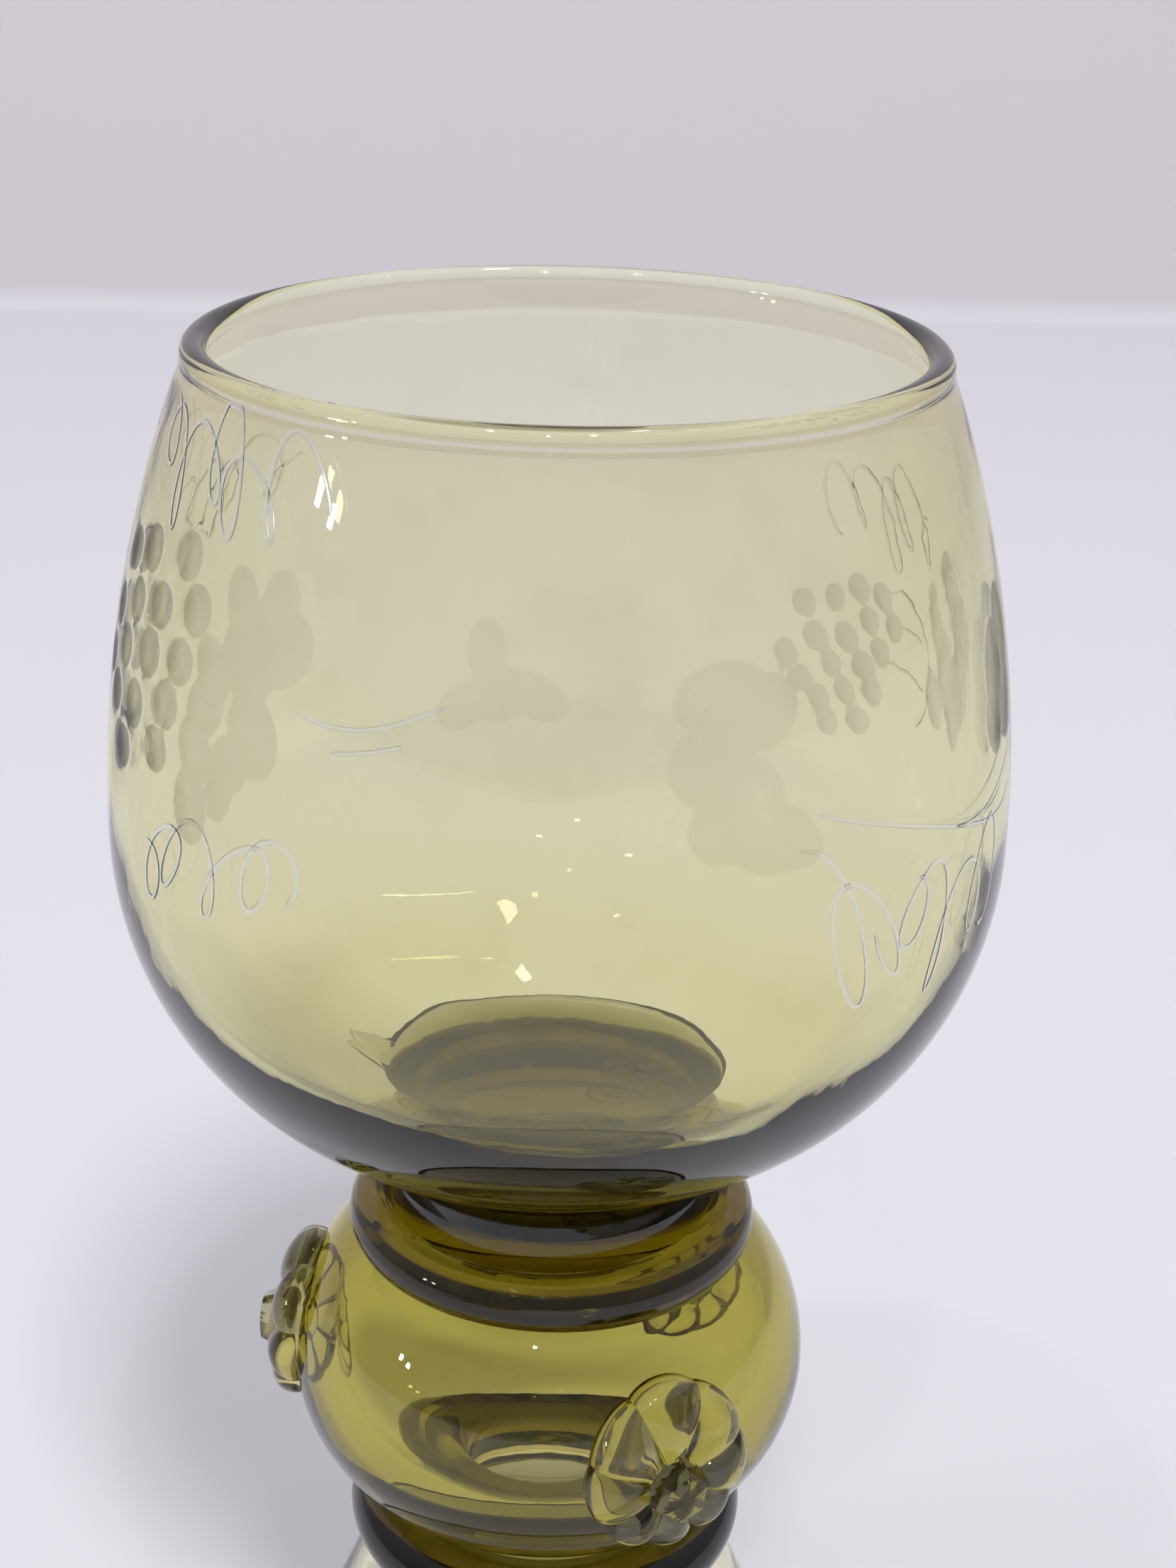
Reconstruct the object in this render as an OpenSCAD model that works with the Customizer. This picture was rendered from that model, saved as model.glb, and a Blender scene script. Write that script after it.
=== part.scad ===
// Roemer: a hand-blown wine glass of olive green forest glass.
// Nine pieces of hot glass, worked one on to the next from the foot up to the bowl.
// The glass stands on the plane z = 0 about the z axis; its front looks along -y.

/* [Foot] */
// Height of the hollow foot, from the table up to the flat seat of the stem
foot_height = 36.8; // [30:0.2:48]
// Radius of the foot's rim, where it spreads on the table
foot_radius = 37; // [34:0.5:44]
// Radius of the top of the foot, under the lower ring
foot_top_radius = 19.4; // [18.6:0.1:20.8]
// Thickness of the blown wall of the foot
foot_wall = 2.4; // [1.8:0.1:3]
// Radius of the hollow sweep that spreads the foot
foot_flare = 150; // [60:5:400]
// Thickness of the rounded rim of the foot
foot_rim = 3.4; // [2.8:0.1:4.2]
// Depth ground off the rim to make it stand flat
foot_ground = 0.3; // [0.2:0.05:0.6]
// Thickness of the glass that closes the top of the foot
foot_ceiling = 3; // [2:0.1:5]

/* [Lower ring] */
// Radius of the middle line of the thick thread laid round the stem's lower neck
lower_ring_radius = 18.1; // [17.6:0.1:19]
// Thickness of that thread
lower_ring_thread = 7.6; // [6.4:0.1:8.2]
// How far the thread has sagged flat on to the foot
lower_ring_sag = 0.3; // [0.2:0.05:0.6]

/* [Bulb] */
// Largest radius of the hollow bulb of the stem
bulb_radius = 27.8; // [26:0.1:30]
// Radius of the curve of the bulb's shoulder
bulb_upper_arc = 20; // [18.5:0.25:22]
// Radius of the curve of the bulb's underside
bulb_lower_arc = 16; // [14.5:0.25:17.5]
// Thickness of the blown wall of the bulb
bulb_wall = 4; // [2:0.1:4.8]
// Height of the bulb's hollow above its widest line
bulb_ceiling = 12.2; // [10:0.1:13.4]
// Radius of the solid neck between bulb and bowl
upper_neck_radius = 17.3; // [16.5:0.1:17.8]
// Height of that neck above the bulb's shoulder
upper_neck_height = 5.5; // [4.6:0.1:8]
// Radius of the neck between bulb and foot
lower_neck_radius = 16; // [15:0.1:17]
// Height of that neck below the bulb
lower_neck_height = 8.9; // [8:0.1:12]
// Radius of the bore through the lower neck
stem_bore = 9.5; // [7:0.25:11]

/* [Prunts] */
// Reach of a stamped flower, from its boss out to the side petals
prunt_reach = 8.8; // [7.5:0.1:9.5]
// How much longer the upper petals run than the side ones
prunt_slump = 0.28; // [0:0.02:0.36]
// Number of petals of a flower
petals = 8; // [6:1:10]
// Round of a petal's end, as a part of its reach
petal_round = 0.3; // [0.24:0.01:0.34]
// Height of a petal's middle line above the bulb
petal_lift = 0.9; // [0.5:0.1:1.4]
// Radius of the round boss in the middle of a flower
boss_radius = 2.4; // [1.8:0.1:3]
// Height of the boss above the bulb
boss_height = 4.3; // [3.4:0.1:5.2]
// Thickness of the pad of glass the petals are pressed out of
pad_thickness = 1.6; // [1:0.1:2.2]
// Height of the bosses above the bulb's widest line
prunt_rise = 0.4; // [-2:0.1:2]
// Turn of the first flower from the front, to the right
prunt_turn = 30; // [0:1:60]

/* [Upper ring] */
// Radius of the middle line of the thread laid round the upper neck
upper_ring_radius = 18.7; // [18.2:0.1:19.4]
// Thickness of that thread
upper_ring_thread = 5.9; // [5.2:0.1:6.6]
// How far the thread has sunk below the top of the shoulder
upper_ring_sink = 0.7; // [0.3:0.1:1.2]

/* [Wafer] */
// Radius to which the wafer spreads under the bowl
wafer_radius = 19.8; // [18.6:0.1:21]
// Thickness of the wafer below the lowest point of the bowl
wafer_web = 2.2; // [1.4:0.1:3.6]
// Radius of the hollow between neck and wafer
wafer_cove = 4.5; // [3.4:0.1:6]
// Reach of the torn tongue of glass left on the wafer's edge
tongue_reach = 24.3; // [22.6:0.1:25.4]
// Thickness of the tongue at its root
tongue_thickness = 1.8; // [1.2:0.1:2.4]
// Width of the tongue at its root
tongue_width = 11; // [6:0.5:16]

/* [Bowl] */
// Largest radius of the bowl, at its belly
bowl_radius = 44.4; // [42:0.1:50]
// Height from the belly up to the top of the lip
belly_to_lip = 47.7; // [38:0.1:56]
// Radius of the long curve that draws the bowl in to its lip
bowl_draw_in = 125; // [100:1:220]
// Radius of the curve of the bowl's side below the belly
bowl_side_arc = 35.3; // [32:0.1:38]
// Angle below level at which the side passes into the flatter bottom
bowl_turn = 58; // [50:1:62]
// Thickness of the bowl's wall at the belly
bowl_wall = 2.2; // [1.8:0.1:2.6]
// Thickness of the glass in the bottom of the bowl
bowl_bottom = 3.4; // [2.8:0.1:3.8]
// Thickness of the fire-rounded lip
lip_bead = 2.6; // [2.4:0.1:3.2]

/* [Hidden] */
$fn = 96;

// Hairline at a curved seat, where two pieces of glass are melted together
seam = 0.01;

// Foot: the sweep of its outside runs from the seat to the top of the rim's bead
rim_r = foot_radius - foot_rim / 2;
rim_z = foot_rim / 2 - foot_ground;
sweep_dr = rim_r - foot_top_radius;
sweep_dz = foot_height - rim_z - foot_rim / 2;
sweep_chord = sqrt(sweep_dr * sweep_dr + sweep_dz * sweep_dz);
sweep_out = sqrt(foot_flare * foot_flare - sweep_chord * sweep_chord / 4);
sweep_r = (rim_r + foot_top_radius) / 2 + sweep_out * sweep_dz / sweep_chord;
sweep_z = foot_height - sweep_dz / 2 + sweep_out * sweep_dr / sweep_chord;

// Lower ring: its middle line stands half a thread over the foot, less the sag
lower_ring_z = foot_height + lower_ring_thread / 2 - lower_ring_sag;

// Bulb: widest line, and the ends of its necks
lower_arc_r = bulb_radius - bulb_lower_arc;
upper_arc_r = bulb_radius - bulb_upper_arc;
lower_drop = sqrt(bulb_lower_arc * bulb_lower_arc - pow(lower_neck_radius - lower_arc_r, 2));
upper_rise = sqrt(bulb_upper_arc * bulb_upper_arc - pow(upper_neck_radius - upper_arc_r, 2));
bulb_z = foot_height + lower_neck_height + lower_drop;
shoulder_z = bulb_z + upper_rise;
neck_top = shoulder_z + upper_neck_height;
dome_radius = 4 * bulb_upper_arc;
blown_rise = sqrt(pow(bulb_upper_arc - bulb_wall, 2) - pow(upper_arc_r, 2));
ceiling_z = bulb_z + min(bulb_ceiling, blown_rise - 0.3);

// Upper ring
upper_ring_z = shoulder_z - upper_ring_sink;

// Bowl: lowest point, belly and lip, and the centres of its curves
bowl_low = neck_top + wafer_web;
bottom_arc = bowl_side_arc + (bowl_radius - bowl_side_arc) / cos(bowl_turn);
belly_z = bowl_low + bottom_arc - (bottom_arc - bowl_side_arc) * sin(bowl_turn);
bottom_z = bowl_low + bottom_arc;
lip_z = belly_z + belly_to_lip - lip_bead / 2;
bowl_lift = bowl_bottom - bowl_wall;
lip_out = bowl_radius - bowl_draw_in + sqrt(pow(bowl_draw_in, 2) - pow(lip_z - belly_z, 2));
lip_in_arc = bowl_draw_in - bowl_wall;
lip_in = bowl_radius - bowl_draw_in + sqrt(pow(lip_in_arc, 2) - pow(lip_z - belly_z - bowl_lift, 2));
lip_r = (lip_out + lip_in) / 2;

// Wafer's torn tongue: a flatter ball that leaves the bowl at the tongue's tip
tongue_root = upper_neck_radius;
tip_z = bottom_z - sqrt(bottom_arc * bottom_arc - tongue_reach * tongue_reach);
root_z = bottom_z - sqrt(bottom_arc * bottom_arc - tongue_root * tongue_root) - tongue_thickness;
tongue_span = tongue_reach * tongue_reach - tongue_root * tongue_root;
tongue_z = (tongue_span + tip_z * tip_z - root_z * root_z) / (2 * (tip_z - root_z));
tongue_ball = sqrt(tongue_reach * tongue_reach + pow(tip_z - tongue_z, 2));

// Prunts: how far a petal at angle a reaches, and how it leans back with the bulb
function reach(a) = prunt_reach * (1 + prunt_slump * cos(a));
function fall(h, arc) = arc - sqrt(max(arc * arc - h * h, 0));
function bend(a) = a > 90 && a < 270 ? bulb_lower_arc : bulb_upper_arc;
pad_ball = prunt_reach * 1.25;
pad_up = prunt_reach * prunt_slump * 0.5;
function lean(a) = atan((fall(reach(a) * cos(a), bend(a)) + fall(reach(a) * sin(a), bulb_radius)) / reach(a));

// Half section of the bowl inside a skin t thick, lifted by up, with its top left open at height top
module bowl_section(t, up, top) {
    side_r = bowl_radius - bowl_side_arc;
    turn_z = belly_z - (bowl_side_arc - t) * sin(bowl_turn);
    translate([0, up]) {
        intersection() {
            translate([bowl_radius - bowl_draw_in, belly_z])
                circle(r = bowl_draw_in - t);
            translate([0, belly_z])
                square([bowl_radius, top - belly_z - up]);
        }
        intersection() {
            translate([side_r, belly_z])
                circle(r = bowl_side_arc - t);
            translate([0, turn_z])
                square([bowl_radius, belly_z - turn_z]);
        }
        translate([0, turn_z])
            square([side_r, belly_z - turn_z]);
        intersection() {
            translate([0, bottom_z])
                circle(r = bottom_arc - t);
            translate([0, turn_z - bottom_arc])
                square([bowl_radius, bottom_arc]);
        }
    }
}

// Half section of the outside of the bulb with its necks, grown by g
module bulb_section(g) {
    intersection() {
        translate([upper_arc_r, bulb_z])
            circle(r = bulb_upper_arc + g);
        translate([0, bulb_z])
            square([bulb_radius + 1, bulb_upper_arc + 1]);
    }
    intersection() {
        translate([lower_arc_r, bulb_z])
            circle(r = bulb_lower_arc + g);
        translate([0, bulb_z - bulb_lower_arc - 1])
            square([bulb_radius + 1, bulb_lower_arc + 1]);
    }
    translate([0, foot_height])
        square([lower_neck_radius + g, bulb_z - foot_height]);
    translate([0, bulb_z])
        square([upper_neck_radius + g, neck_top - bulb_z]);
}

// Half section of the bulb's hollow, from the bore up to its domed ceiling
module hollow_section() {
    intersection() {
        translate([upper_arc_r, bulb_z])
            circle(r = bulb_upper_arc - bulb_wall);
        translate([0, bulb_z])
            square([bulb_radius, bulb_upper_arc]);
        translate([0, ceiling_z - dome_radius])
            circle(r = dome_radius);
    }
    intersection() {
        translate([lower_arc_r, bulb_z])
            circle(r = bulb_lower_arc - bulb_wall);
        translate([0, bulb_z - bulb_lower_arc])
            square([bulb_radius, bulb_lower_arc]);
    }
    translate([0, foot_height - 1])
        square([stem_bore, bulb_z - foot_height + 1]);
}

// Hollow blown foot, open below and through its top to the stem
module foot() {
    color([0.62, 0.6, 0.36])
    rotate_extrude() {
        difference() {
            polygon([
                [0, 0], [rim_r, 0], [rim_r, rim_z + foot_rim / 2],
                [foot_top_radius, foot_height], [0, foot_height]
            ]);
            translate([sweep_r, sweep_z])
                circle(r = foot_flare);
            difference() {
                translate([0, -1])
                    square([rim_r, foot_height - foot_ceiling + 1]);
                translate([sweep_r, sweep_z])
                    circle(r = foot_flare + foot_wall);
            }
            translate([0, -1])
                square([stem_bore, foot_height + 2]);
        }
        intersection() {
            translate([rim_r, rim_z])
                circle(d = foot_rim);
            square([foot_radius + 1, foot_rim]);
        }
    }
}

// Thick thread round the lower neck, sagged on to the foot
module lower_ring() {
    color([0.36, 0.38, 0.2])
    rotate_extrude()
    difference() {
        translate([lower_ring_radius, lower_ring_z])
            circle(d = lower_ring_thread);
        translate([0, foot_height - lower_ring_thread])
            square([lower_ring_radius + lower_ring_thread, lower_ring_thread]);
        bulb_section(seam);
    }
}

// Hollow bulb of the stem, with a bored lower neck and a solid upper one
module bulb() {
    color([0.55, 0.52, 0.2])
    rotate_extrude()
    difference() {
        bulb_section(0);
        hollow_section();
    }
}

// One petal: a drop turned about z, its round end out at the reach of angle a
module petal(a) {
    end = petal_round * reach(a);
    run = reach(a) - end;
    root = boss_radius / 2;
    rotate_extrude()
    intersection() {
        union() {
            translate([0, run])
                circle(r = end);
            polygon([[0, root], [end * 0.45, root], [end * 0.94, run], [0, run]]);
        }
        square([end + 1, run + end + 1]);
    }
}

// Boss in the middle of a flower: a round knob turned about z
module boss() {
    rotate_extrude()
    intersection() {
        union() {
            translate([0, boss_height - boss_radius])
                circle(r = boss_radius);
            polygon([
                [0, -pad_thickness], [boss_radius * 1.12, -pad_thickness],
                [boss_radius * 0.94, boss_height - boss_radius], [0, boss_height - boss_radius]
            ]);
        }
        translate([0, -pad_thickness])
            square([2 * boss_radius, boss_height + 2 * pad_thickness]);
    }
}

// Flower prunt: a blob stamped into petals round a boss, set on the bulb at turn t
module prunt(t) {
    color([0.5, 0.48, 0.22])
    rotate([0, 0, t - 90])
    difference() {
        union() {
            translate([bulb_radius + pad_thickness - pad_ball, 0, bulb_z + prunt_rise + pad_up])
                sphere(r = pad_ball);
            translate([bulb_radius, 0, bulb_z + prunt_rise]) {
                for (i = [0 : petals - 1]) {
                    a = i * 360 / petals;
                    rotate([-a, 0, 0])
                        translate([petal_lift, 0, 0])
                        rotate([0, -lean(a), 0])
                        petal(a);
                }
                rotate([0, 90, 0])
                    boss();
            }
        }
        rotate_extrude()
            bulb_section(seam);
    }
}

// Thread round the upper neck, sunk on to the bulb's shoulder
module upper_ring() {
    color([0.45, 0.42, 0.2])
    rotate_extrude()
    difference() {
        translate([upper_ring_radius, upper_ring_z])
            circle(d = upper_ring_thread);
        bulb_section(seam);
    }
}

// Wafer that joins stem and bowl, with the torn tongue on its left edge
module wafer() {
    color([0.42, 0.4, 0.22])
    difference() {
        union() {
            rotate_extrude()
            difference() {
                translate([0, neck_top])
                    square([wafer_radius, bottom_arc]);
                translate([upper_neck_radius + wafer_cove, neck_top])
                    circle(r = wafer_cove);
                translate([0, bottom_z])
                    square([wafer_radius + 1, bottom_arc]);
            }
            intersection() {
                translate([0, 0, tongue_z])
                    sphere(r = tongue_ball);
                translate([0, 0, neck_top])
                    linear_extrude(bottom_z - neck_top)
                    polygon([
                        [-tongue_root + 1, -tongue_width / 2], [-tongue_root + 1, tongue_width / 2],
                        [-tongue_reach + 2.4, tongue_width / 4], [-tongue_reach, tongue_width / 8],
                        [-tongue_reach + 1, 0],
                        [-tongue_reach, -tongue_width / 8], [-tongue_reach + 2.4, -tongue_width / 4]
                    ]);
            }
        }
        rotate_extrude()
            bowl_section(-seam, 0, lip_z);
    }
}

// Blown bowl, thick at the bottom, with a fire-rounded lip
module bowl() {
    color([0.72, 0.7, 0.5])
    rotate_extrude() {
        difference() {
            bowl_section(0, 0, lip_z);
            bowl_section(bowl_wall, bowl_lift, lip_z + 1);
        }
        translate([lip_r, lip_z])
            circle(d = lip_bead);
    }
}

foot();
lower_ring();
bulb();
prunt(prunt_turn);  // prunt_right
prunt(prunt_turn + 120);  // prunt_back
prunt(prunt_turn + 240);  // prunt_left
upper_ring();
wafer();
bowl();
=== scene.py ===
import math

import bpy
import numpy as np
from mathutils import Matrix


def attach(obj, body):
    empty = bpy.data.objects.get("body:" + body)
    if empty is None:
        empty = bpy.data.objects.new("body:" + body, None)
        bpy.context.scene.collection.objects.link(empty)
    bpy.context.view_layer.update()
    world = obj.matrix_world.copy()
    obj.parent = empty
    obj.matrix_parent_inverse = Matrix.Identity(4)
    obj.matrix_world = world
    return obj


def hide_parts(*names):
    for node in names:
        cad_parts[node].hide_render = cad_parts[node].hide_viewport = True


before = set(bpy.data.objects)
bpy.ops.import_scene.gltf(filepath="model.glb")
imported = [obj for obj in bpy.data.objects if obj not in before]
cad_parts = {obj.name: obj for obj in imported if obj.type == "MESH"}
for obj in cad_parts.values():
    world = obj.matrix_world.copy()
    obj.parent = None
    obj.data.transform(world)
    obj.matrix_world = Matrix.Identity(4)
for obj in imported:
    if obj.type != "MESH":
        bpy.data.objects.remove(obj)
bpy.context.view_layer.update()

# Foot: a cone of pale green glass, opened and spread on the iron until it flares,
# its edge turned to a round bead that is ground flat underneath.
# The stem stands on its flat top, which is open through to the bulb.
foot_colour = (0.90, 0.86, 0.42)
foot_depth = 120.0
foot_wave = 0.12
foot_height, foot_top = 36.8, 19.4
foot_ceiling, foot_ceiling_r = 33.8, 17.88
foot_wall = 2.4
rim_r, rim_z, rim_bead = 35.3, 1.4, 1.7
flare_r, flare_z, flare = 161.958, 83.46, 150
flare_join, rim_join = -147.5, 183
stem_bore = 9.5


def arc(r, z, radius, start, stop, count):
    """Half-section points of an arc: its centre (r, z) plus radius along each angle,
    in degrees from straight out."""
    turn = np.radians(np.linspace(start, stop, count))
    return np.stack([r + radius * np.cos(turn), z + radius * np.sin(turn)], 1)


def angle_at(out, r, radius):
    """Angle at which a circle round r comes as far out from the axis as asked: the
    arccosine of the way past r over the radius, in degrees from straight out."""
    return math.degrees(math.acos((out - r) / radius))


def straight(start, stop, count):
    """Half-section points of a straight line, evenly spaced from start to stop."""
    share = np.linspace(0, 1, count)[:, None]
    return np.array(start) + share * (np.array(stop) - np.array(start))


def spun(section, columns=240):
    """Carries a half section round the axis: (r, z) becomes the circle
    (r sin a, -r cos a, z), front first."""
    a = np.arange(columns) * (2 * np.pi / columns)
    r, z = section[:, :1], section[:, 1:]
    return np.stack([r * np.sin(a), -r * np.cos(a), z + 0 * a], -1)


def skin(name, *shells):
    """Joins grids of points, in mm, into one mesh of closed skins. In each grid the
    columns meet round. The rows meet end to end, or, where the shell says poles, the
    first and last row each shrink to a single point."""
    places, faces, filled = [], [], 0
    for points, poles in shells:
        rows, columns = points.shape[:2]
        j = np.arange(columns)
        k = (j + 1) % columns
        if poles:
            low = np.arange(rows - 3)[:, None] * columns
            high = low + columns
            top = (rows - 3) * columns
            pole = np.full(columns, (rows - 2) * columns)
            first = np.stack([pole, k, j], -1)
            last = np.stack([top + j, top + k, pole + 1], -1)
            faces += (np.concatenate([first, last]) + filled).tolist()
            placed = np.concatenate([points[1:-1].reshape(-1, 3), points[0, :1], points[-1, :1]])
        else:
            low = np.arange(rows)[:, None] * columns
            high = (np.arange(rows)[:, None] + 1) % rows * columns
            placed = points.reshape(-1, 3)
        sides = np.stack([low + j, low + k, high + k, high + j], -1).reshape(-1, 4)
        faces += (sides + filled).tolist()
        places.append(placed)
        filled += len(placed)
    mesh = bpy.data.meshes.new(name)
    mesh.from_pydata(np.concatenate(places) * 0.001, [], faces)
    mesh.polygons.foreach_set("use_smooth", np.ones(len(mesh.polygons), bool))
    mesh.set_sharp_from_angle(angle=math.radians(38))
    piece = bpy.data.objects.new(name, mesh)
    bpy.context.collection.objects.link(piece)
    return piece


class Flow:
    """A shader socket in a sum. Arithmetic with numbers or other sockets adds Math
    nodes, and node() adds any other node."""

    def __init__(self, tree, socket=None):
        self.tree, self.socket = tree, socket

    def node(self, kind, settings, values, output=0):
        made = self.tree.nodes.new(kind)
        for word, setting in settings.items():
            setattr(made, word, setting)
        for socket, value in values.items():
            if isinstance(value, Flow):
                self.tree.links.new(value.socket, made.inputs[socket])
            else:
                made.inputs[socket].default_value = value
        return Flow(self.tree, made.outputs[output]) if len(made.outputs) else made

    def math(self, operation, a, b):
        return self.node("ShaderNodeMath", {"operation": operation}, {0: a, 1: b})

    def __add__(self, other):
        return self.math("ADD", self, other)

    def __radd__(self, other):
        return self.math("ADD", other, self)

    def __sub__(self, other):
        return self.math("SUBTRACT", self, other)

    def __rsub__(self, other):
        return self.math("SUBTRACT", other, self)

    def __mul__(self, other):
        return self.math("MULTIPLY", self, other)

    def __rmul__(self, other):
        return self.math("MULTIPLY", other, self)


def green_glass(name, colour, depth, wave, frost=None):
    """Blown glass: clear, with a faint film of handling, a surface that swells a little
    as hand-worked glass does, and a body that takes up light by colour and depth. frost
    names a point value that is over 0 where a wheel ground it, and the point value bite
    says how hard; there the glass turns rough and takes a grey tint, which is painted
    shade that darkens the matt places."""
    material = bpy.data.materials.new(name)
    material.use_nodes = True
    tree = material.node_tree
    tree.nodes.clear()
    start = Flow(tree)
    place = start.node("ShaderNodeTexCoord", {}, {}, output=3)
    swell = start.node("ShaderNodeTexNoise", {}, {"Vector": place, "Scale": 55.0, "Detail": 1.0})
    cords = start.node("ShaderNodeTexNoise", {}, {"Vector": place, "Scale": 260.0, "Detail": 2.0})
    smear = start.node("ShaderNodeTexNoise", {}, {"Vector": place, "Scale": 90.0, "Detail": 6.0})
    film = start.node("ShaderNodeMapRange", {}, {0: smear, 1: 0.56, 2: 0.75, 3: 0.0, 4: 1.0})
    rough = 0.01 + 0.03 * film
    # The last tint is painted shade: a grey that darkens the wheel-ground places.
    clean, handled, frost_shade = (1, 1, 1, 1), (0.95, 0.95, 0.94, 1), (0.80, 0.79, 0.77, 1)
    colours = {"data_type": "RGBA"}
    tint = start.node("ShaderNodeMix", colours, {0: film, 6: clean, 7: handled}, output=2)
    if frost:
        ground = start.node("ShaderNodeAttribute", {"attribute_name": frost}, {}, output=2)
        bite = start.node("ShaderNodeAttribute", {"attribute_name": "bite"}, {}, output=2)
        matt_and_shade = bite * start.node("ShaderNodeMapRange", {}, {0: ground, 1: 0.0, 2: 0.10, 3: 0.0, 4: 1.0})
        grit = start.node("ShaderNodeTexNoise", {}, {"Vector": place, "Scale": 2600.0, "Detail": 2.0})
        rough = rough + matt_and_shade * (0.25 + 0.3 * grit)
        # Where ground, the glass is rougher and also takes the grey painted shade.
        tint = start.node("ShaderNodeMix", colours, {0: matt_and_shade, 6: tint, 7: frost_shade}, output=2)
    height = swell + 0.06 * cords
    bump = start.node("ShaderNodeBump", {}, {"Strength": wave, "Distance": 0.002, "Height": height})
    glass = start.node(
        "ShaderNodeBsdfPrincipled",
        {},
        {"Base Color": tint, "Roughness": rough, "Normal": bump, "IOR": 1.5, "Transmission Weight": 1.0},
    )
    body = start.node("ShaderNodeVolumeAbsorption", {}, {"Color": (*colour, 1), "Density": depth})
    start.node("ShaderNodeOutputMaterial", {}, {"Surface": glass, "Volume": body})
    return material


def set_in_place(piece, node, material):
    """Gives a piece its glass, and its place in the frame instead of its plain solid."""
    piece.data.materials.append(material)
    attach(piece, "root")
    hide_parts(node)


rim_ground = math.sqrt(rim_bead**2 - rim_z**2)
rim_low = angle_at(rim_r + rim_ground, rim_r, rim_bead)
flare_low, flare_high = (-angle_at(out, flare_r, flare) for out in (rim_r, foot_top))
flare_in = flare + foot_wall
flare_ceiling = -angle_at(foot_ceiling_r, flare_r, flare_in)
foot_section = np.concatenate([
    straight((rim_r - rim_ground, 0), (rim_r + rim_ground, 0), 4),
    arc(rim_r, rim_z, rim_bead, -rim_low, 90, 16)[1:],
    arc(flare_r, flare_z, flare, flare_low, flare_high, 44)[1:],
    straight((foot_top, foot_height), (stem_bore, foot_height), 10)[1:],
    straight((stem_bore, foot_height), (stem_bore, foot_ceiling), 5)[1:],
    straight((stem_bore, foot_ceiling), (foot_ceiling_r, foot_ceiling), 8)[1:],
    arc(flare_r, flare_z, flare_in, flare_ceiling, flare_join, 40)[1:],
    arc(rim_r, rim_z, rim_bead, rim_join, 180 + rim_low, 7)[:-1],
])
foot = skin("foot", (spun(foot_section), False))
set_in_place(foot, "foot", green_glass("foot_glass", foot_colour, foot_depth, foot_wave))

# Lower ring: a thick thread of darker glass trailed round the neck while soft.
# It has sagged on to the foot below and is melted to both.
thread_colour = (0.77, 0.73, 0.36)
thread_depth = 1000.0
thread_wave = 0.15
lower_neck = 16
# Pieces that are melted together run this far into each other, in mm
melt = 0.05
stem_foot = foot_height - melt
lower_ring_in, lower_ring_out = lower_neck - melt, 19.456
lower_ring_r, lower_ring_z, lower_ring_half = 18.1, 40.3, 3.8
lower_ring_low = -angle_at(lower_ring_out, lower_ring_r, lower_ring_half)
lower_ring_high = angle_at(lower_ring_in, lower_ring_r, lower_ring_half)
lower_ring_round = arc(
    lower_ring_r, lower_ring_z, lower_ring_half, lower_ring_low, lower_ring_high, 44
)
lower_ring_section = np.concatenate([
    straight((lower_ring_in, stem_foot), (lower_ring_out, stem_foot), 8),
    lower_ring_round[1:],
    straight(lower_ring_round[-1], (lower_ring_in, stem_foot), 13)[1:-1],
])
lower_ring = skin("lower_ring", (spun(lower_ring_section), False))
thread_glass = green_glass("thread_glass", thread_colour, thread_depth, thread_wave)
set_in_place(lower_ring, "lower_ring", thread_glass)

# Bulb: the hollow of the stem, blown in olive glass and pulled in to a neck at each end.
# The lower neck is bored through to the foot, and the upper one is solid.
stem_colour = (0.79, 0.757, 0.17)
stem_depth = 255.0
stem_wave = 0.16
bulb_r, bulb_z, bulb_wall = 27.8, 61.14, 4
shoulder_arc, under_arc = 20, 16
shoulder_r, under_r = bulb_r - shoulder_arc, bulb_r - under_arc
shoulder_in, under_in = shoulder_arc - bulb_wall, under_arc - bulb_wall
upper_neck, neck_top = 17.3, 84.24
ceiling_r, ceiling_top, ceiling_arc = 20.69, 73.34, 80
hollow_ease = 5.5


def eased(section, reach):
    """Rounds the corners of a half section: its points are set evenly along its length
    and averaged over about reach mm with a bell-shaped weight, the ends held."""
    steps = np.hypot(*np.diff(section, axis=0).T)
    along = np.concatenate([[0], np.cumsum(steps)])
    even = np.linspace(0, along[-1], len(section))
    laid = np.stack([np.interp(even, along, section[:, n]) for n in (0, 1)], 1)
    off = even[:, None] - even[None, :]
    near = np.minimum(even, even[-1] - even)
    width = np.minimum(reach, near / 3 + 1e-6)[:, None]
    weight = np.exp(-0.5 * (off / width) ** 2)
    return weight @ laid / weight.sum(1, keepdims=True)


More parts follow.
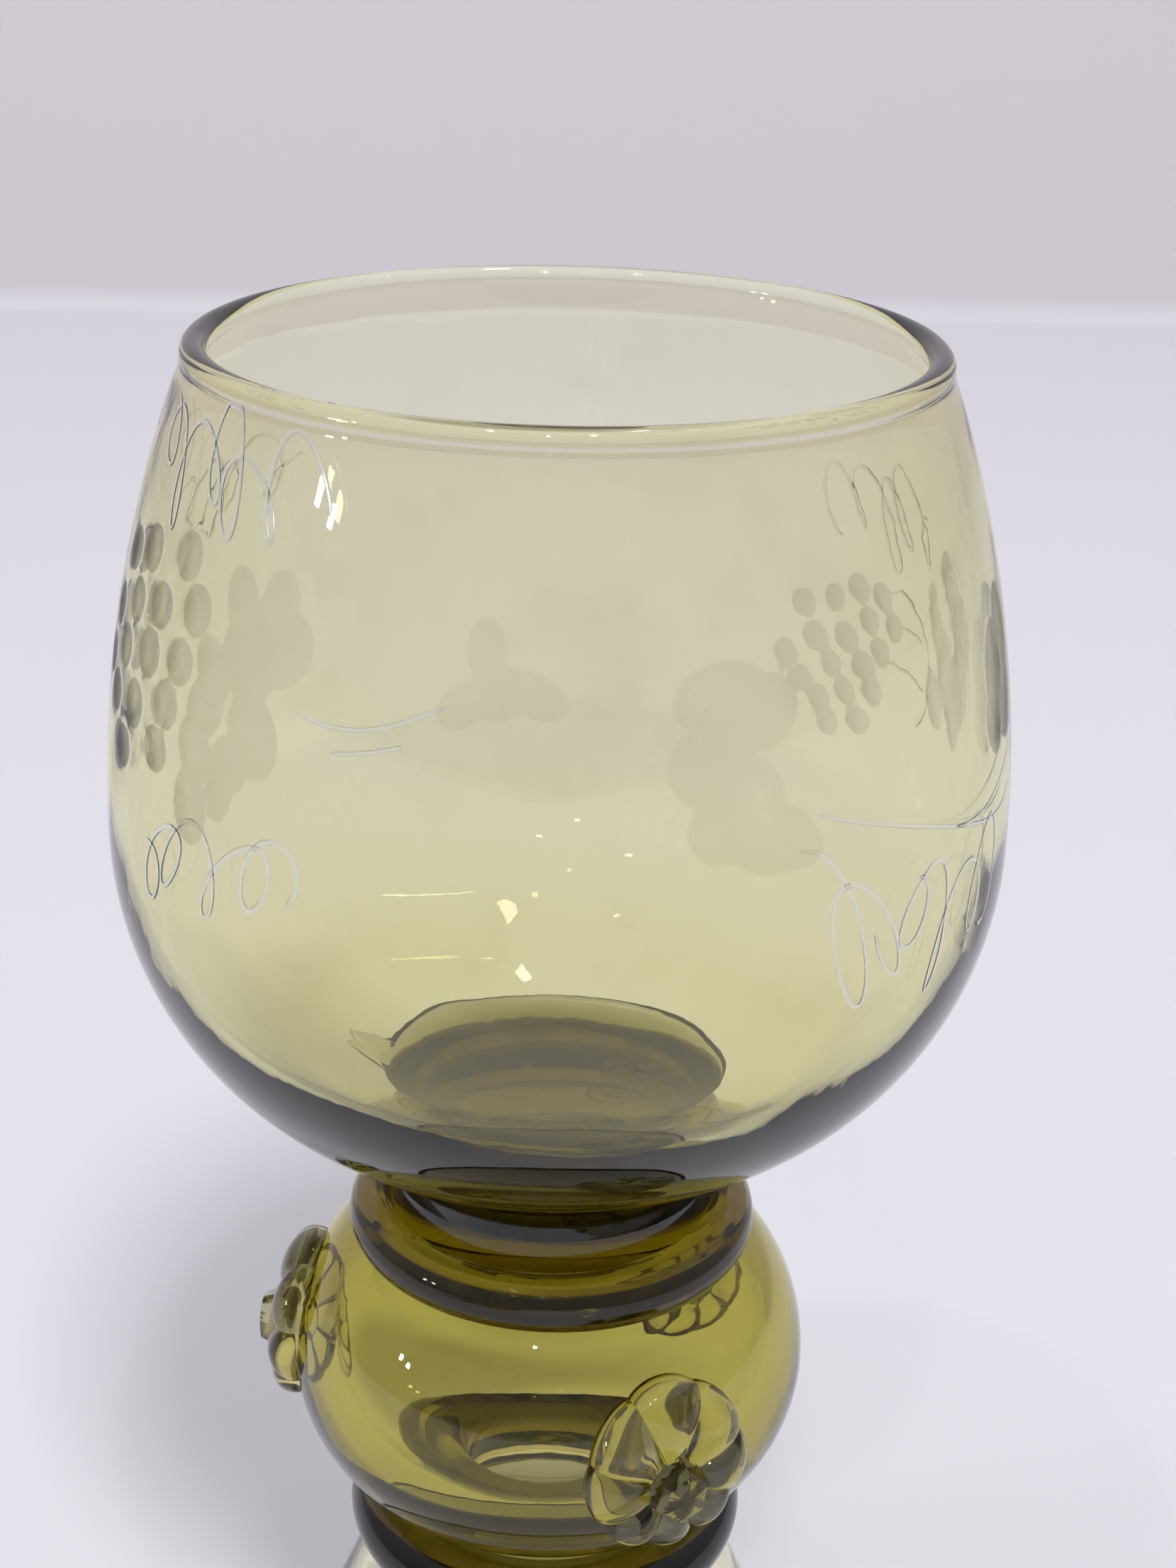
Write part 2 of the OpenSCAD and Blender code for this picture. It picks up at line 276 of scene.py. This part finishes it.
hollow_under = arc(under_r, bulb_z, under_in, 0, -angle_at(stem_bore, under_r, under_in), 36)
hollow = np.concatenate([
    arc(0, ceiling_top - ceiling_arc, ceiling_arc, 90, angle_at(ceiling_r, 0, ceiling_arc), 36),
    arc(shoulder_r, bulb_z, shoulder_in, angle_at(ceiling_r, shoulder_r, shoulder_in), 0, 16)[1:],
    hollow_under[1:],
    straight(hollow_under[-1], (stem_bore, stem_foot), 16)[1:],
])
neck_low = -angle_at(lower_neck, under_r, under_arc)
neck_high = angle_at(upper_neck, shoulder_r, shoulder_arc)
bulb_under = arc(under_r, bulb_z, under_arc, neck_low, 0, 40)
bulb_shoulder = arc(shoulder_r, bulb_z, shoulder_arc, 0, neck_high, 44)
bulb_section = np.concatenate([
    eased(hollow, hollow_ease),
    straight((stem_bore, stem_foot), (lower_neck, stem_foot), 8)[1:],
    straight((lower_neck, stem_foot), bulb_under[0], 10)[1:],
    bulb_under[1:],
    bulb_shoulder[1:],
    straight(bulb_shoulder[-1], (upper_neck, neck_top + melt), 8)[1:],
    straight((upper_neck, neck_top + melt), (0, neck_top + melt), 14)[1:],
])
bulb = skin("bulb", (spun(bulb_section), True))
stem_glass = green_glass("stem_glass", stem_colour, stem_depth, stem_wave)
set_in_place(bulb, "bulb", stem_glass)

# Prunts: three blobs of soft glass dropped on to the bulb and pressed with a stamp
# into flowers of eight petals round a six-sided boss, the top petal the longest.
prunt_colour = (0.78, 0.735, 0.12)
prunt_depth = 140.0
prunt_wave = 0.05
prunt_rise = 0.4
petal_count, petal_reach, petal_longer = 8, 9.2, 1.5
petal_end = 0.62
boss_r, boss_height, boss_groove = 2.2, 4.2, 1.6


def flower(turn):
    """Height of a stamped flower over the bulb, on rays from its middle. The outline is
    longest at the top and dips a little at each groove. Across, every petal is a round
    swell between two narrow grooves, which are worn towards its end; along, it climbs
    from the groove round the boss and drops off steeply at its end. The boss is a
    six-sided stud with a soft top. The bulb's own curve then carries the heights."""
    rays = np.arange(256) * (2 * np.pi / 256)
    side = (rays / (2 * np.pi / petal_count) + 0.5) % 1 * 2 - 1
    swell = np.sqrt(1 - 0.88 * side**2)
    uneven = 0.25 * np.cos(2 * rays) + 0.12 * np.sin(3 * rays + 1)
    reach = petal_reach + petal_longer * np.cos(rays) + uneven
    edge = reach * (0.93 + 0.07 * swell)
    share = np.sin(np.linspace(0, np.pi / 2, 64))[:, None] ** 0.9
    out = share * edge
    u, v = out * np.sin(rays), out * np.cos(rays)
    climb = np.clip((out - boss_groove) / (petal_end * edge - boss_groove), 0, 1)
    past_end = np.clip((share - petal_end) / (1 - petal_end), 0, 1)
    fall = np.sqrt(np.clip(1 - past_end**2.4, 0, 1))
    round_in = climb * climb * (3 - 2 * climb)
    worn = 1 - (0.35 + 0.3 * np.cos(rays)) * np.clip((share - 0.4) / 0.5, 0, 1)
    petals = fall * (1.3 + 0.5 * round_in + (0.5 + 1.3 * round_in) * ((swell - 1) * worn + 0.65))
    six = np.cos((rays + 0.35 + np.pi / 6) % (np.pi / 3) - np.pi / 6)
    stud = out * six / boss_r
    boss = boss_height - 0.3 * np.minimum(stud, 1.6) ** 2 - 7.0 * np.maximum(stud - 0.84, 0) ** 1.3
    blend = 0.14
    top = blend * np.log(np.exp(petals / blend) + np.exp(np.clip(boss, -4, 9) / blend))
    top = top * (share < 1)
    under = np.linspace(1, 0, 14)[1:, None]
    u = np.concatenate([u, under * u[-1]])
    v = np.concatenate([v, under * v[-1]])
    rise = np.concatenate([top, np.full((len(under), len(rays)), -melt)])
    above = v + prunt_rise
    bend = np.where(above > 0, shoulder_arc, under_arc)
    r = bulb_r - bend + (bend + rise) * np.cos(above / bend)
    z = bulb_z + (bend + rise) * np.sin(above / bend)
    a = math.radians(turn) + u / bulb_r
    return np.stack([r * np.sin(a), -r * np.cos(a), z], -1)


prunt_glass = green_glass("prunt_glass", prunt_colour, prunt_depth, prunt_wave)
for prunt_node, prunt_turn in (("prunt_right", 30), ("prunt_back", 150), ("prunt_left", 270)):
    prunt = skin(prunt_node + "_flower", (flower(prunt_turn), True))
    set_in_place(prunt, prunt_node, prunt_glass)

# Upper ring: a thinner thread trailed round the upper neck and sunk on to the bulb's shoulder.
# It was drawn a little thicker on the right, and fine lines run along it.
upper_ring_r, upper_ring_z, upper_ring_half = 18.7, 78.04, 2.95
upper_ring_in = upper_neck - melt
neck_from = 78.7


def trailed(columns=240):
    """A round thread in section whose inner side takes the shape of what it was trailed
    on: every point that would lie in the shoulder or the neck is pushed out to just
    under its skin. The open side swells and thins round the neck."""
    a = np.arange(columns) * (2 * np.pi / columns)
    turn = np.radians(np.linspace(0, 360, 72, endpoint=False))[:, None]
    swell = 1 + 0.035 * np.sin(a + 0.3) + 0.012 * np.sin(3 * a)
    lines = 1 + 0.006 * np.sin(18 * turn + 1.5 * np.sin(2 * a))
    size = upper_ring_half * swell * lines
    r = upper_ring_r + size * np.cos(turn)
    z = upper_ring_z + size * np.sin(turn)
    far = np.hypot(r - shoulder_r, z - bulb_z)
    push = np.maximum((shoulder_arc - melt) / far, 1)
    in_neck = (r < upper_ring_in) & (z > neck_from)
    r, z = (
        np.where(in_neck, r, shoulder_r + (r - shoulder_r) * push),
        np.where(in_neck, z, bulb_z + (z - bulb_z) * push),
    )
    r = np.maximum(r, np.where(z > neck_from - 0.1, upper_ring_in, 0))
    return np.stack([r * np.sin(a), -r * np.cos(a), z], -1)


upper_ring = skin("upper_ring", (trailed(), False))
set_in_place(upper_ring, "upper_ring", thread_glass)

# Wafer: the gather that joins the stem to the bowl, coved under its edge.
# A tongue of it was torn on the left when the bowl was set down, and lies on the bowl.
wafer_colour = (0.76, 0.735, 0.33)
wafer_depth = 1000.0
wafer_r = 19.7
wafer_cove = 7.0
tongue_turn = 270
cap_z, cap_radius = 138.91, 52.47


def bowl_under(r):
    """Height of the bowl's outside where it rests on the wafer: that of the cap's centre
    less the root of the cap's radius squared less r squared."""
    return cap_z - np.sqrt(cap_radius**2 - r**2)


def wafer_rows(columns=480):
    """The wafer's skin from the middle of its underside to the middle of its seat: out
    over the neck, up a round cove, out along the torn edge, which reaches farther at the
    tongue, and back just inside the bowl."""
    a = np.arange(columns) * (2 * np.pi / columns)
    off = np.abs((np.degrees(a) - tongue_turn + 180) % 360 - 180)
    edge = wafer_r + 0.16 * np.sin(2 * a + 1) + 0.08 * np.sin(5 * a) + 0.05 * np.sin(11 * a + 2)
    tongue = np.interp(off, [0, 1.3, 3.2, 7.2, 10.6, 12.5], [3.6, 3.9, 4.5, 2.4, 0.6, 0.0])
    torn = np.clip(tongue / 0.8, 0, 1)
    tip = edge + 0.22 + tongue
    flat = np.linspace(0, upper_neck, 12)[:, None] + 0 * a
    cove = upper_neck + np.linspace(0, 1, 14)[1:, None] * (edge - upper_neck)
    cove_z = neck_top + np.sqrt(np.maximum(wafer_cove**2 - (upper_neck + wafer_cove - cove) ** 2, 0))
    share = np.sin(np.linspace(0, np.pi / 2, 16))[1:, None]
    lip = edge + share * (tip - edge)
    thick = bowl_under(edge) - cove_z[-1]
    round_edge = np.sqrt(1 - share**2)
    thin = 0.45 * np.exp(-((share / 0.16) ** 2)) + 0.5 * round_edge * (1 - 0.35 * share)
    lip_z = bowl_under(lip) - thick * ((1 - torn) * round_edge + torn * thin)
    seat = np.linspace(1, 0, 16)[:, None] * tip
    r = np.concatenate([flat, cove, lip, seat])
    z = np.concatenate([flat * 0 + neck_top, cove_z, lip_z, bowl_under(seat) + melt])
    return np.stack([r * np.sin(a), -r * np.cos(a), z], -1)


wafer = skin("wafer", (wafer_rows(), True))
wafer_glass = green_glass("wafer_glass", wafer_colour, wafer_depth, stem_wave)
set_in_place(wafer, "wafer", wafer_glass)

# Bowl: blown thin in pale green glass, thick at the bottom and drawn in to a lip that was
# rounded in the fire. A wheel has ground a vine round it: grapes and leaves as shallow matt
# dishes, and tendrils, stalks and stems as fine matt lines.
bowl_colour = (0.81, 0.775, 0.17)
bowl_depth = 150.0
bowl_wave = 0.10
bowl_columns = 408
belly_r, belly_z, belly_arc = 44.4, 124.35, 35.3
cap_end = -58
drawn_arc, drawn_end = 125, 21.45
lip_r, lip_z, lip_bead = 34.53, 170.72, 1.3
bowl_floor = 90.24
inside_ease, inside_aside = 2.0, 0.8
wall_heights = [86.4, 91, 94.4, 96.5, 99.4, 104, 112, 124, 171]
wall_thickness = [3.8, 4.8, 5.0, 4.6, 3.9, 3.1, 2.5, 2.2, 2.0]
bowl_outside = np.concatenate([
    arc(0, cap_z, cap_radius, -90, cap_end, 18),
    arc(belly_r - belly_arc, belly_z, belly_arc, cap_end, 0, 56)[1:],
    arc(belly_r - drawn_arc, belly_z, drawn_arc, 0, drawn_end, 76)[1:],
])
bowl_lip = arc(lip_r, lip_z, lip_bead, -22, 212, 22)
bowl_along = np.concatenate([[0], np.cumsum(np.hypot(*np.diff(bowl_outside, axis=0).T))])
bowl_slope = np.gradient(bowl_outside, bowl_along, axis=0)
bowl_facing = np.stack([bowl_slope[:, 1], -bowl_slope[:, 0]], 1)
bowl_facing /= np.linalg.norm(bowl_facing, axis=1, keepdims=True)
bowl_wall = np.interp(bowl_outside[:, 1], wall_heights, wall_thickness)
bowl_inside = eased(bowl_outside - bowl_wall[:, None] * bowl_facing, inside_ease)[::-3]
bowl_inside[-1] = 0, bowl_floor
inside_points = spun(bowl_inside, bowl_columns)
# Low down the inside was blown a little to the right of the middle
inside_points[:, :, 0] += np.clip((110 - bowl_inside[:, 1]) / 14, 0, inside_aside)[:, None]

# Each dish: degrees round from the front, height, half width and half height in mm, degrees of lean
grapes = [
    (-68, 154.5, 2.2, 2.2, 0), (-60.5, 156, 2.3, 2.4, 0), (-50, 157.2, 2.3, 2.4, 0),
    (-71.5, 148.6, 2.1, 2.2, 0), (-63, 150.8, 2.2, 2.3, 0), (-54.9, 152, 2.4, 2.3, 0),
    (-46.2, 153.2, 2.3, 2.5, 0), (-73, 143.6, 2.1, 2.2, 0), (-65.3, 146, 2.2, 2.3, 0),
    (-56.5, 147.4, 2.5, 2.5, 0), (-48.4, 148.3, 2.3, 2.3, 0), (-67.8, 141.2, 2.2, 2.2, 0),
    (-59.5, 142, 2.4, 2.5, 0), (-50.6, 144, 2.4, 2.4, 0), (-62.6, 137.2, 2.3, 2.2, 0),
    (-52.2, 139.6, 2.4, 2.3, 0),
    (143.9, 135.7, 2, 1.9, 0), (137.5, 137.4, 1.7, 1.9, 0), (132.3, 139.6, 1.9, 1.9, 0),
    (127.3, 139.6, 1.7, 1.9, 0), (141.4, 132, 2.1, 1.9, 0), (135.1, 133.3, 2, 1.9, 0),
    (130.2, 136.2, 1.7, 1.8, 0), (124.8, 136.7, 1.8, 1.9, 0), (147, 129, 1.9, 1.9, 0),
    (138.3, 129.4, 1.8, 1.9, 0), (131.5, 130.5, 2, 1.9, 0), (127.9, 133, 1.8, 1.9, 0),
    (140.4, 124.6, 1.7, 1.8, 0), (135.2, 126.7, 1.8, 1.8, 0), (129.8, 128, 1.8, 1.9, 0),
    (143.8, 126.4, 1.6, 1.7, 0), (138.4, 122.3, 1.7, 1.7, 0), (132.5, 123.9, 1.8, 1.8, 0),
]
leaves = [
    (-38, 155.3, 2.0, 3.3, 14), (-32, 155.8, 2.2, 3.4, -8), (-30, 152.4, 2.6, 3.6, -22),
    (-35.5, 151.2, 3.6, 4.2, 0), (-41.5, 149, 2.2, 3.4, 30),
    (-42.3, 145.6, 2.6, 3.2, -20), (-43.4, 141.6, 2.5, 3.2, 28), (-34, 144.8, 3.0, 4.2, 20),
    (-37.2, 141.6, 2.4, 2.8, 0), (-43.8, 136.4, 2.6, 3.8, 4), (-38.6, 138.8, 1.7, 2.9, -6),
    (76, 148.8, 2.6, 4.6, 8), (71, 146, 2.8, 5.0, -6), (75.5, 142.2, 2.6, 4.2, -14),
    (69.6, 141, 2.2, 3.4, 18),
    (112, 141, 2.0, 4.4, -6), (109, 136, 2.2, 5.0, 12), (113, 131.5, 2.2, 3.6, -16),
    (105, 146.5, 2.2, 3.6, -8), (101.5, 142, 3.4, 5.2, 4), (103, 135.5, 3.2, 5.2, 10),
    (106, 131, 2.4, 3.6, -14),
]
faint_leaves = [
    (-5, 154.9, 1.7, 2.9, 4), (0.3, 151.6, 3.4, 1.9, -24), (-7.5, 150.4, 2.6, 1.8, 40),
    (-3.6, 151.6, 2.6, 2.4, 0),
    (22, 151, 4.6, 3.2, 8), (27, 149.6, 3.2, 3.4, -30), (20.4, 145.4, 4.0, 3.8, 0),
    (24.6, 142.5, 3.6, 4.0, 20), (27.5, 138.8, 4.6, 3.4, -12), (21.6, 140.0, 3.2, 3.2, 20),
    (31.5, 137.6, 2.2, 2.0, 0), (64, 126.5, 2.0, 3.6, -6), (64.5, 122.5, 2.2, 3.0, 10),
]
bowl_turns = np.arange(bowl_columns) * (2 * np.pi / bowl_columns)


def ground_dishes(dishes, deep):
    """Depth and cover of shallow round dishes at every point of the bowl's outside. Each
    is a lens, deep times one less the square of the distance from its middle over its
    size; where dishes meet the deeper counts."""
    phi, high, wide, tall, lean = np.array(dishes).T
    cos, sin = np.cos(np.radians(lean)), np.sin(np.radians(lean))
    around = (bowl_turns[:, None] - np.radians(phi) + np.pi) % (2 * np.pi) - np.pi
    x = bowl_outside[:, 0, None, None] * around
    y = bowl_along[:, None, None] - np.interp(high, bowl_outside[:, 1], bowl_along)
    q = np.hypot((x * cos + y * sin) / wide, (y * cos - x * sin) / tall).min(-1)
    return deep * np.maximum(1 - q**2, 0), np.clip(1 - q, -0.5, 1)


# Each kind of dish: its places, how deep the wheel went (mm) and how matt it left the glass, which also
# sets how much painted shade greys it
dish_kinds = ((grapes, 0.22, 0.95), (leaves, 0.14, 0.8), (faint_leaves, 0.08, 0.55))
cut_depths, cut_covers = zip(*(ground_dishes(dishes, deep) for dishes, deep, _ in dish_kinds))
cut_depth = np.max(cut_depths, 0)
cut_cover = np.max(cut_covers, 0)
cut_bite = np.array([bite for _, _, bite in dish_kinds])[np.argmax(cut_covers, 0)]
out_r = bowl_outside[:, :1] - cut_depth * bowl_facing[:, :1]
out_z = bowl_outside[:, 1:] - cut_depth * bowl_facing[:, 1:]
ground_outside = np.stack([out_r * np.sin(bowl_turns), -out_r * np.cos(bowl_turns), out_z], -1)
bowl_points = np.concatenate([ground_outside, spun(bowl_lip, bowl_columns), inside_points])
line_sides = 6
line_ground, line_bite = 0.10, 0.24


def cut_line(phi, high, wide=0.27):
    """A fine ground line: a flat oval carried along a path on the bowl, given by angle
    and height, sunk more than half into the skin, and narrowed to a point at both ends."""
    along = np.interp(high, bowl_outside[:, 1], bowl_along)
    r, z = (np.interp(along, bowl_along, bowl_outside[:, n]) for n in (0, 1))
    fr, fz = (np.interp(along, bowl_along, bowl_facing[:, n]) for n in (0, 1))
    a = np.radians(phi)
    path = np.stack([r * np.sin(a), -r * np.cos(a), z], -1)
    facing = np.stack([fr * np.sin(a), -fr * np.cos(a), fz], -1)
    ahead = np.gradient(path, axis=0)
    ahead /= np.linalg.norm(ahead, axis=1, keepdims=True)
    across = np.cross(facing, ahead)
    turn = np.arange(line_sides) * (2 * np.pi / line_sides)
    from_end = np.minimum(np.arange(len(a)), len(a) - 1 - np.arange(len(a)))
    width = (np.sqrt(np.clip(from_end / 4, 0, 1)) * wide)[:, None, None]
    rise = 0.028 * np.sin(turn)[:, None] - 0.012
    return path[:, None] + width * np.cos(turn)[:, None] * across[:, None] + rise * facing[:, None]


def tendril(start, stop, high, half, loops, lean=0.0, drop=0.0, curl=0.42):
    """A looping tendril: it goes on evenly from one angle to the other while it circles,
    so that each turn crosses the last, leaning a little, and its circles grow and then
    shrink towards the ends."""
    t = np.linspace(0, 1, int(46 * loops))
    turn = 2 * np.pi * loops * t
    size = half * (0.66 + 0.34 * np.sin(np.pi * t)) * (1 + 0.22 * np.sin(0.61 * turn + start))
    step = (stop - start) / loops
    wander = 0.22 * step * np.sin(0.37 * turn + start)
    phi = start + (stop - start) * t + wander + curl * step * np.sin(turn) + lean * np.cos(turn)
    return cut_line(phi, high + drop * t + 0.3 * half * np.sin(0.43 * turn + stop) + size * np.cos(turn))


def stem(*places, wide=0.2):
    """A stem or stalk: a smooth curve through a few places on the bowl, each an angle
    and a height."""
    phi, high = np.array(places).T
    order = len(places) - 1
    knots = np.linspace(0, 1, len(places))
    t = np.linspace(0, 1, 14 * len(places))
    phi, high = (np.polyval(np.polyfit(knots, values, order), t) for values in (phi, high))
    return cut_line(phi, high, wide)


lines = [
    tendril(-67, -31, 164.6, 4.3, 5.4, lean=-1.6),
    tendril(112, 137, 150.4, 4.6, 4.5, lean=1.6, drop=-1.0),
    tendril(-56, -27, 129, 3.9, 4.4, lean=1.5, drop=4.0),
    tendril(46, 69, 127.4, 5.2, 3.6, lean=1.8, drop=-1.5),
    tendril(32, 46, 129.5, 7.5, 1.7, lean=-2.5),
    tendril(-128, -96, 152, 4.0, 4.2, lean=-1.5),
    stem((-27.5, 147.8), (-20, 147.3), (-14, 148.6), (-9.4, 150.2), wide=0.22),
    stem((-23, 145.0), (-18.5, 145.6), (-14, 146.6)),
    stem((33, 140.2), (45, 137.2), (57, 134.4), (68, 132.4), (77, 133.5)),
    stem((57, 134.4), (67, 134.2), (78, 137.6)),
    stem((123.4, 141.5), (117.6, 139.0), (115.2, 133.6), (118.6, 126.4)),
    stem((125.6, 140.4), (121.5, 141.2), (118.6, 139.8), wide=0.18),
    stem((123.2, 137), (120, 137.2), (116.8, 136.8), wide=0.18),
    stem((127, 132.4), (121.5, 132.2), (116.4, 131.4), wide=0.18),
]
bowl = skin("bowl", (bowl_points, True), *((line, True) for line in lines))
line_points = sum((len(line) - 2) * line_sides + 2 for line in lines)
for word, cut, elsewhere, on_lines in (
    ("ground", cut_cover, -0.5, line_ground),
    ("bite", cut_bite, 0.0, line_bite),
):
    spread = np.full(bowl_points.shape[:2], elsewhere)
    spread[: len(bowl_outside)] = cut
    values = np.concatenate([spread[1:-1].ravel(), [elsewhere] * 2, np.full(line_points, on_lines)])
    bowl.data.attributes.new(word, "FLOAT", "POINT").data.foreach_set("value", values.astype(np.float32))
bowl_glass = green_glass("bowl_glass", bowl_colour, bowl_depth, bowl_wave, frost="ground")
set_in_place(bowl, "bowl", bowl_glass)

# Stage: a pale sheet that runs along the table and turns up behind the glass,
# set a little askew, as the line behind the glass shows.
sheet_turn = 0.11
sheet_front, sheet_fold, sheet_round, sheet_top = -1.6, 0.84, 0.01, 1.4
sheet_rows = 30
fold_turn = np.linspace(0, np.pi / 2, 8)[1:]
sheet_y = np.concatenate([
    np.linspace(sheet_front, sheet_fold, sheet_rows),
    sheet_fold + sheet_round * np.sin(fold_turn),
    [sheet_fold + sheet_round],
])
sheet_z = np.concatenate([
    np.zeros(sheet_rows),
    sheet_round - sheet_round * np.cos(fold_turn),
    [sheet_top],
])
sheet_x = np.linspace(-2.0, 2.0, 9)
sheet_points = np.stack([
    sheet_x * math.cos(sheet_turn) - sheet_y[:, None] * math.sin(sheet_turn),
    sheet_x * math.sin(sheet_turn) + sheet_y[:, None] * math.cos(sheet_turn),
    np.broadcast_to(sheet_z[:, None], (len(sheet_y), len(sheet_x))),
], -1).reshape(-1, 3)
row = np.arange(len(sheet_y) - 1)[:, None] * len(sheet_x)
near = row + np.arange(len(sheet_x) - 1)
far = near + len(sheet_x)
sheet_faces = np.stack([near, near + 1, far + 1, far], -1).reshape(-1, 4)
sheet_mesh = bpy.data.meshes.new("table_sheet")
sheet_mesh.from_pydata(sheet_points, [], sheet_faces.tolist())
sheet_mesh.polygons.foreach_set("use_smooth", np.ones(len(sheet_faces), bool))
sheet = bpy.data.objects.new("table_sheet", sheet_mesh)
bpy.context.collection.objects.link(sheet)
sheet_paper = bpy.data.materials.new("pale_sheet")
sheet_paper.use_nodes = True
sheet_paper.node_tree.nodes.clear()
paper = Flow(sheet_paper.node_tree)
paper_place = paper.node("ShaderNodeTexCoord", {}, {}, output=3)
paper_z = paper.node("ShaderNodeSeparateXYZ", {}, {0: paper_place}, output=2)
paper_up = paper.node("ShaderNodeMapRange", {}, {0: paper_z, 1: 0.0, 2: sheet_round, 3: 0.0, 4: 1.0})
paper_cloud = paper.node("ShaderNodeTexNoise", {}, {"Vector": paper_place, "Scale": 3.0, "Detail": 3.0})
paper_floor = paper.node(
    "ShaderNodeMix",
    {"data_type": "RGBA"},
    {0: paper_cloud, 6: (0.74, 0.735, 0.785, 1), 7: (0.78, 0.77, 0.82, 1)},
    output=2,
)
paper_tone = paper.node(
    "ShaderNodeMix",
    {"data_type": "RGBA"},
    {0: paper_up, 6: paper_floor, 7: (0.73, 0.685, 0.73, 1)},
    output=2,
)
paper_skin = paper.node(
    "ShaderNodeBsdfPrincipled",
    {},
    {"Base Color": paper_tone, "Roughness": 0.9, "Specular IOR Level": 0.1},
)
paper.node("ShaderNodeOutputMaterial", {}, {"Surface": paper_skin})
sheet_mesh.materials.append(sheet_paper)

# Light: an even pale room and a broad lamp in front, high up and a little to the right.
# Small lamps and a tube above, and two small lamps on the left, leave the crisp points
# of light on the glass.
world = bpy.data.worlds.new("room")
bpy.context.scene.world = world
world.use_nodes = True
world.node_tree.nodes.clear()
room = Flow(world.node_tree)
room_way = room.node("ShaderNodeTexCoord", {}, {}, output=0)
room_up = room.node("ShaderNodeSeparateXYZ", {}, {0: room_way}, output=2)
room_back = room.node("ShaderNodeSeparateXYZ", {}, {0: room_way}, output=1)
room_soft = {"interpolation_type": "SMOOTHSTEP"}
room_high = room.node("ShaderNodeMapRange", room_soft, {0: room_up, 1: -0.1, 2: 0.7, 3: 0.0, 4: 1.0})
room_far = room.node("ShaderNodeMapRange", room_soft, {0: room_back, 1: -0.8, 2: 0.4, 3: 0.0, 4: 1.0})
room_level = 0.24 + 0.17 * room_far + 0.12 * room_high
room_glow = room.node("ShaderNodeBackground", {}, {"Color": (0.97, 0.98, 1.0, 1), "Strength": room_level})
room.node("ShaderNodeOutputWorld", {}, {"Surface": room_glow})


def lamp(name, place, aim, wide, tall, watts, shown=True):
    """A flat lamp, wide and tall in metres, at a place, turned to face a point. One that
    isn't shown lights the scene but leaves no reflection of itself."""
    light = bpy.data.lights.new(name, "AREA")
    light.shape = "RECTANGLE"
    light.size = wide
    light.size_y = tall
    light.energy = watts
    held = bpy.data.objects.new(name, light)
    bpy.context.collection.objects.link(held)
    held.visible_glossy = shown
    held.visible_transmission = shown
    back = np.array(place, float) - np.array(aim, float)
    back /= np.linalg.norm(back)
    side = np.cross((0.0, 0.0, 1.0), back)
    side /= np.linalg.norm(side)
    axes = np.stack([side, np.cross(back, side), back, place], 1)
    held.matrix_world = Matrix([*axes.tolist(), [0, 0, 0, 1]])


stem_middle, bowl_middle = (0, 0, 0.1), (0, 0, 0.15)
lamp("broad_lamp", (0.42, -1.35, 2.25), (0, 0.1, 0.05), 0.45, 0.45, 31.0, shown=False)
lamp("ceiling_lamp_a", (0.25, -0.9, 1.9), stem_middle, 0.05, 0.05, 2.0)
lamp("ceiling_lamp_b", (-0.45, -0.6, 1.9), stem_middle, 0.05, 0.05, 2.0)
lamp("ceiling_lamp_c", (-0.1, -1.4, 1.9), stem_middle, 0.05, 0.05, 2.0)
lamp("ceiling_lamp_d", (0.26, 0.31, 1.85), stem_middle, 0.08, 0.08, 2.0)
lamp("ceiling_tube", (0.66, 0.37, 1.85), stem_middle, 0.02, 0.7, 1.5)
lamp("window_lamp_a", (-1.80, -0.79, 0.68), bowl_middle, 0.07, 0.10, 2.0)
lamp("window_lamp_b", (-1.73, -0.94, 0.64), bowl_middle, 0.06, 0.08, 2.0)

# Camera: a little above the lip, looking down past it, with the photograph's slight tilt,
# and swung round the glass so that the prunts stand where the photograph has them.
eye_back, eye_high = 0.22252, 0.21936
eye_swing, eye_heading = math.radians(3.5), math.radians(-0.733)
eye_down, eye_roll = math.radians(22.568), math.radians(1.444)
camera = bpy.data.cameras.new("camera")
camera.sensor_fit = "VERTICAL"
camera.sensor_height = 36.0
camera.lens = 55.33
camera.clip_start = 0.01
eye = bpy.data.objects.new("camera", camera)
bpy.context.collection.objects.link(eye)
eye.matrix_world = (
    Matrix.Rotation(eye_swing, 4, "Z")
    @ Matrix.Translation((0, -eye_back, eye_high))
    @ Matrix.Rotation(eye_heading, 4, "Z")
    @ Matrix.Rotation(math.pi / 2 - eye_down, 4, "X")
    @ Matrix.Rotation(eye_roll, 4, "Z")
)
bpy.context.scene.camera = eye

# Light that runs on inside thick glass needs many turns before it comes out.
bpy.context.scene.view_settings.view_transform = "Standard"
bpy.context.scene.cycles.max_bounces = 32
bpy.context.scene.cycles.transmission_bounces = 28
bpy.context.scene.cycles.glossy_bounces = 8
